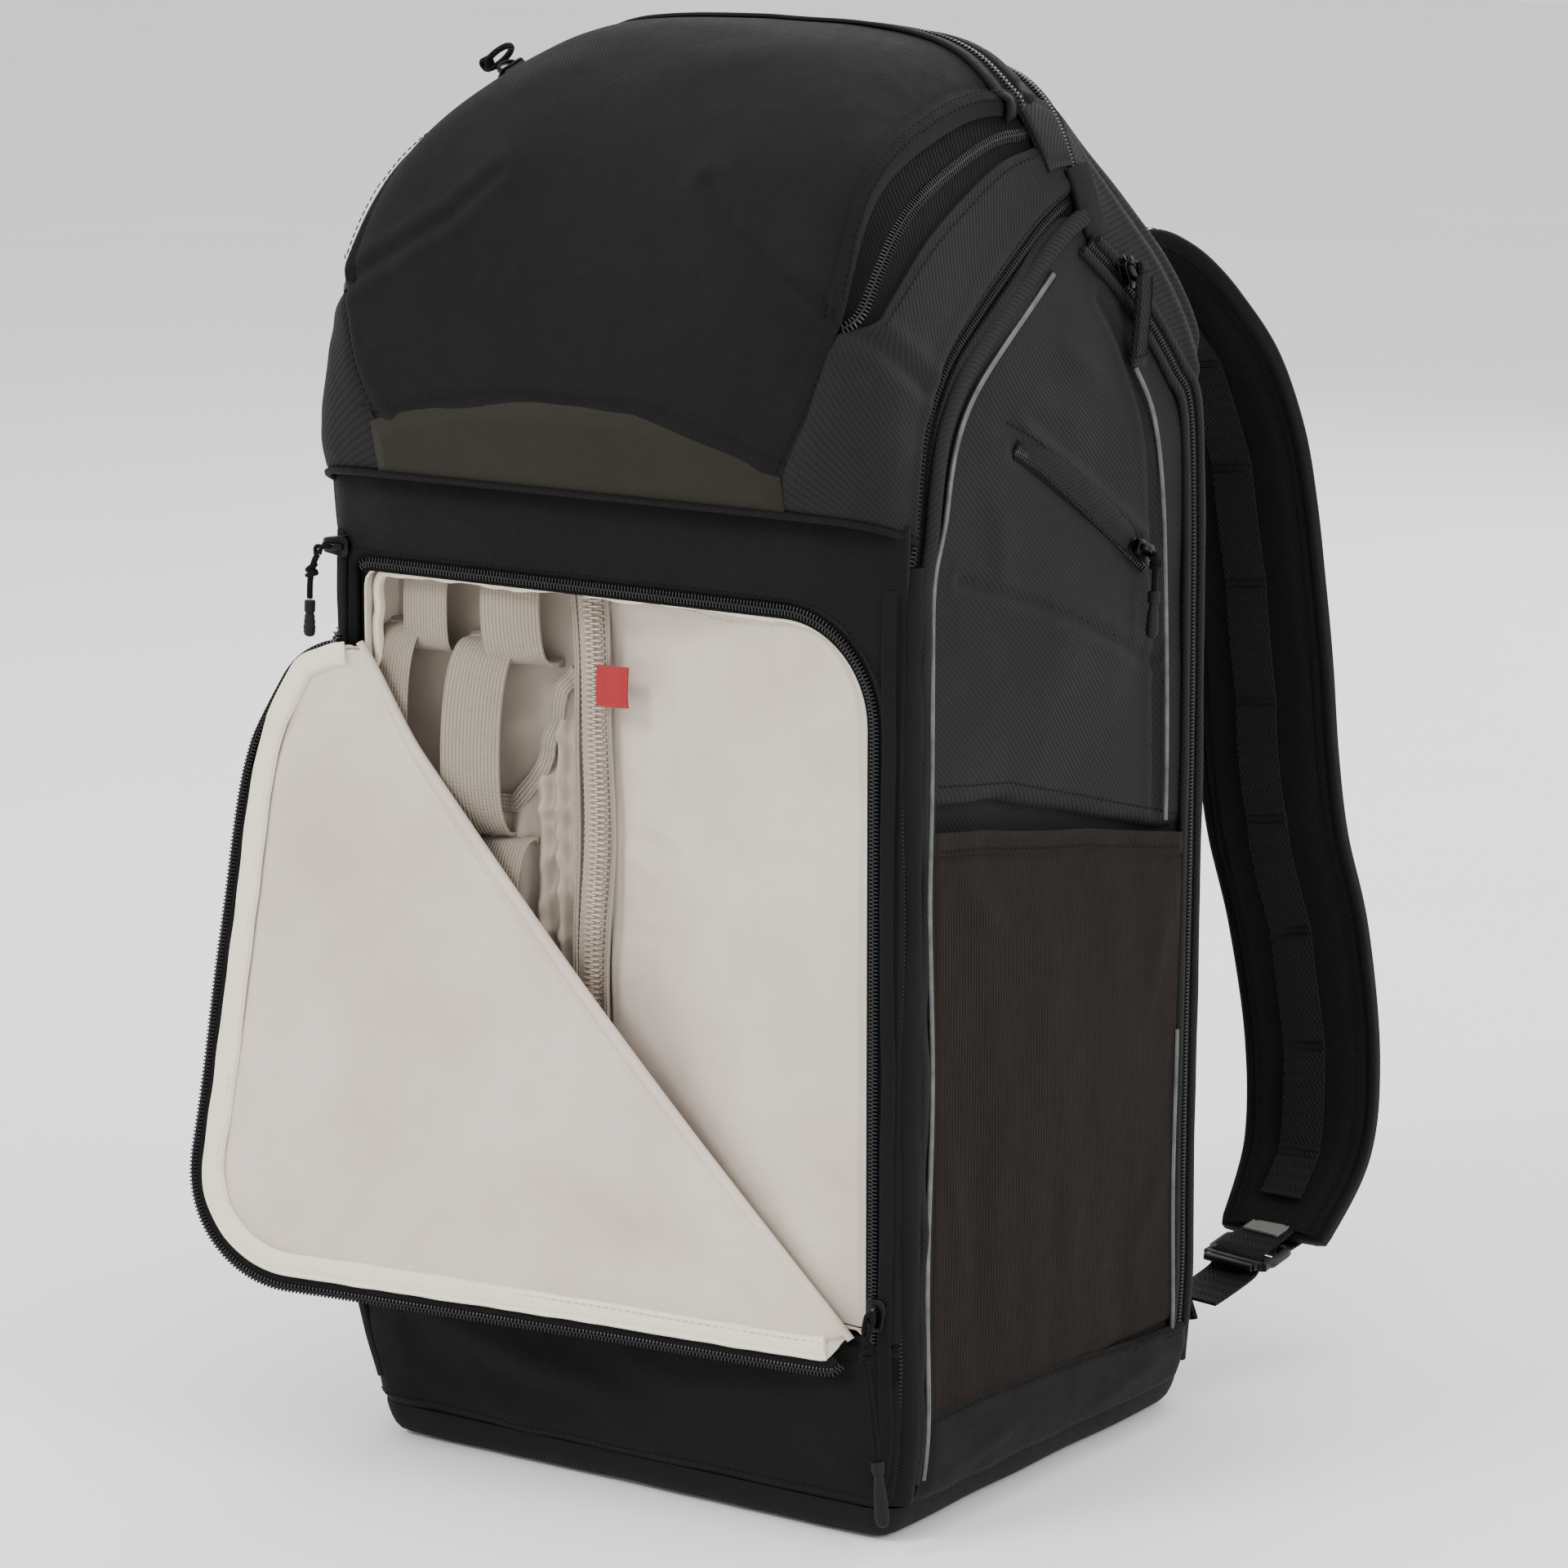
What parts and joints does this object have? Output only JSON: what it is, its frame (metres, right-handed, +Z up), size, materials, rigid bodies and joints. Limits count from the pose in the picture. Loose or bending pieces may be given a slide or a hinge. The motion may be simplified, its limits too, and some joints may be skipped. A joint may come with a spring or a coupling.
{
  "type": "camera backpack",
  "caption": "Tall zipped camera backpack with a hooded lid, a front organiser with its corner flap folded open, stretch side pockets and padded shoulder straps.",
  "frame": {"origin": "centre of the base, on the surface the pack stands on", "axes": "+Z up, -Y out of the front pocket, +Y out of the harness side, +X to the right of someone looking at the front"},
  "size_m": [0.3332, 0.4143, 0.5901],
  "materials": {
    "shell_fabric": "smooth tightly woven black nylon",
    "twill_fabric": "charcoal twill weave",
    "stretch_fabric": "brown-black stretch knit",
    "band_fabric": "coated grey-brown fabric",
    "lining_fabric": "light warm grey lining",
    "binding_tape": "pale woven binding tape",
    "elastic_webbing": "ribbed elastic",
    "zip_tape": "woven zip tape with nylon coil",
    "light_zip_tape": "woven zip tape with nylon coil",
    "air_mesh": "open spacer mesh",
    "foam": "closed-cell foam",
    "divider_fabric": "brushed loop fabric over foam",
    "webbing": "woven webbing",
    "strap_fabric": "spacer mesh over foam",
    "cord_sheath": "braided cord",
    "grip_rubber": "moulded grip",
    "slider_metal": "black coated die casting",
    "lock_plastic": "moulded acetal",
    "tab_red": "folded woven tab"
  },
  "bodies": {
    "pack": {"base_panel": "shell_fabric", "back_shell": "twill_fabric", "top_rear_panel": "twill_fabric", "side_wall_left": "twill_fabric", "side_wall_right": "twill_fabric", "side_upper_left": "twill_fabric", "side_upper_right": "twill_fabric", "stretch_pocket_left": "stretch_fabric", "stretch_pocket_right": "stretch_fabric", "side_pocket_zips": "zip_tape", "back_foam": "foam", "camera_dividers": "divider_fabric", "back_pads": "air_mesh", "strap_anchors": "webbing", "clamshell_zip": "zip_tape", "rear_zip": "zip_tape"},
    "front_door": {"front_lower_panel": "shell_fabric", "front_upper_band": "shell_fabric", "door_gussets": "twill_fabric", "flap_fixed_panel": "shell_fabric", "flap_zip_track": "zip_tape", "organizer_panel": "lining_fabric", "organizer_pocket": "lining_fabric", "gathered_pocket": "lining_fabric", "inner_pocket_zip": "light_zip_tape", "elastic_loops": "elastic_webbing", "red_tab": "tab_red", "hood_shell": "shell_fabric", "hood_gusset_left": "twill_fabric", "hood_gusset_right": "twill_fabric", "hood_band": "band_fabric", "hood_inner_panel": "lining_fabric", "lid_zip": "zip_tape"},
    "flap": {"flap_panel": "lining_fabric", "flap_binding": "binding_tape", "flap_zip_edge": "zip_tape"},
    "top_slider": {"slider_flap_top": "slider_metal"},
    "top_pull": {"pull_cord_flap_top": "cord_sheath", "pull_grip_flap_top": "grip_rubber"},
    "side_slider": {"slider_flap_side": "slider_metal"},
    "side_pull": {"pull_cord_flap_side": "cord_sheath", "pull_grip_flap_side": "grip_rubber"},
    "lid_slider": {"slider_lid": "slider_metal"},
    "lid_pull": {"pull_lid": "cord_sheath"},
    "handle": {"grab_handle": "webbing"},
    "rear_slider_right": {"slider_rear_right": "slider_metal"},
    "rear_tab_right": {"pull_tab_rear_right": "webbing"},
    "pocket_slider_right": {"slider_pocket_right": "slider_metal"},
    "pocket_pull_right": {"pull_pocket_right": "grip_rubber"},
    "strap_right": {"strap_pad_right": "strap_fabric", "strap_webbing_right": "webbing", "ladder_lock_right": "lock_plastic"},
    "rear_slider_left": {"slider_rear_left": "slider_metal"},
    "rear_tab_left": {"pull_tab_rear_left": "webbing"},
    "pocket_slider_left": {"slider_pocket_left": "slider_metal"},
    "pocket_pull_left": {"pull_pocket_left": "grip_rubber"},
    "strap_left": {"strap_pad_left": "strap_fabric", "strap_webbing_left": "webbing", "ladder_lock_left": "lock_plastic"}
  },
  "joints": [
    {"name": "door_open", "type": "hinge", "parent": "pack", "child": "front_door", "pos_m": [0, -0.1192, 0.014], "axis": [1, 0, 0], "range_deg": [0, 100]},
    {"name": "flap_fold", "type": "hinge", "parent": "front_door", "child": "flap", "pos_m": [-0.125, -0.1215, 0.33], "axis": [0.7028, 0, -0.7114], "range_deg": [-159, 0]},
    {"name": "flap_top_zip", "type": "slide", "parent": "front_door", "child": "top_slider", "axis": [1, 0, 0], "range_m": [0, 0.19]},
    {"name": "flap_top_pull", "type": "hinge", "parent": "top_slider", "child": "top_pull", "pos_m": [-0.139, -0.1284, 0.3755], "axis": [1, 0, 0], "range_deg": [-110, 0]},
    {"name": "flap_side_zip", "type": "slide", "parent": "front_door", "child": "side_slider", "axis": [0, 0, 1], "range_m": [0, 0.19]},
    {"name": "flap_side_pull", "type": "hinge", "parent": "side_slider", "child": "side_pull", "pos_m": [0.1308, -0.1284, 0.0894], "axis": [1, 0, 0], "range_deg": [-110, 0]},
    {"name": "lid_zip_run", "type": "slide", "parent": "front_door", "child": "lid_slider", "axis": [0.1408, 0.9445, 0.2967], "range_m": [-0.015, 0.025]},
    {"name": "lid_pull", "type": "hinge", "parent": "lid_slider", "child": "lid_pull", "pos_m": [-0.10931, -0.04024, 0.57026], "axis": [-0.6337, 0.3163, -0.7059], "range_deg": [-50, 0]},
    {"name": "rear_zip_right_run", "type": "slide", "parent": "pack", "child": "rear_slider_right", "axis": [0.2351, 0.5173, -0.8229], "range_m": [0, 0.04]},
    {"name": "rear_tab_right", "type": "hinge", "parent": "rear_slider_right", "child": "rear_tab_right", "pos_m": [0.1384, 0.06, 0.488], "axis": [0, -1, 0], "range_deg": [0, 95]},
    {"name": "pocket_zip_right_run", "type": "slide", "parent": "pack", "child": "pocket_slider_right", "axis": [0, -0.8608, 0.509], "range_m": [0, 0.09]},
    {"name": "pocket_pull_right", "type": "hinge", "parent": "pocket_slider_right", "child": "pocket_pull_right", "pos_m": [0.1525, 0.05, 0.3765], "axis": [0, -1, 0], "range_deg": [0, 95]},
    {"name": "strap_right_swing", "type": "hinge", "parent": "pack", "child": "strap_right", "pos_m": [0.066, 0.133, 0.487], "axis": [0.143, -0.0201, -0.9895], "range_deg": [-12, 12]},
    {"name": "rear_zip_left_run", "type": "slide", "parent": "pack", "child": "rear_slider_left", "axis": [-0.2351, 0.5173, -0.8229], "range_m": [0, 0.04]},
    {"name": "rear_tab_left", "type": "hinge", "parent": "rear_slider_left", "child": "rear_tab_left", "pos_m": [-0.1384, 0.06, 0.488], "axis": [0, 1, 0], "range_deg": [0, 95]},
    {"name": "pocket_zip_left_run", "type": "slide", "parent": "pack", "child": "pocket_slider_left", "axis": [0, -0.8608, 0.509], "range_m": [0, 0.09]},
    {"name": "pocket_pull_left", "type": "hinge", "parent": "pocket_slider_left", "child": "pocket_pull_left", "pos_m": [-0.1525, 0.05, 0.3765], "axis": [0, 1, 0], "range_deg": [0, 95]},
    {"name": "strap_left_swing", "type": "hinge", "parent": "pack", "child": "strap_left", "pos_m": [-0.066, 0.133, 0.487], "axis": [-0.143, -0.0201, -0.9895], "range_deg": [-12, 12]},
    {"name": "handle_lift", "type": "hinge", "parent": "pack", "child": "handle", "pos_m": [0, 0.1241, 0.484], "axis": [1, 0, 0], "range_deg": [0, 140]}
  ]
}
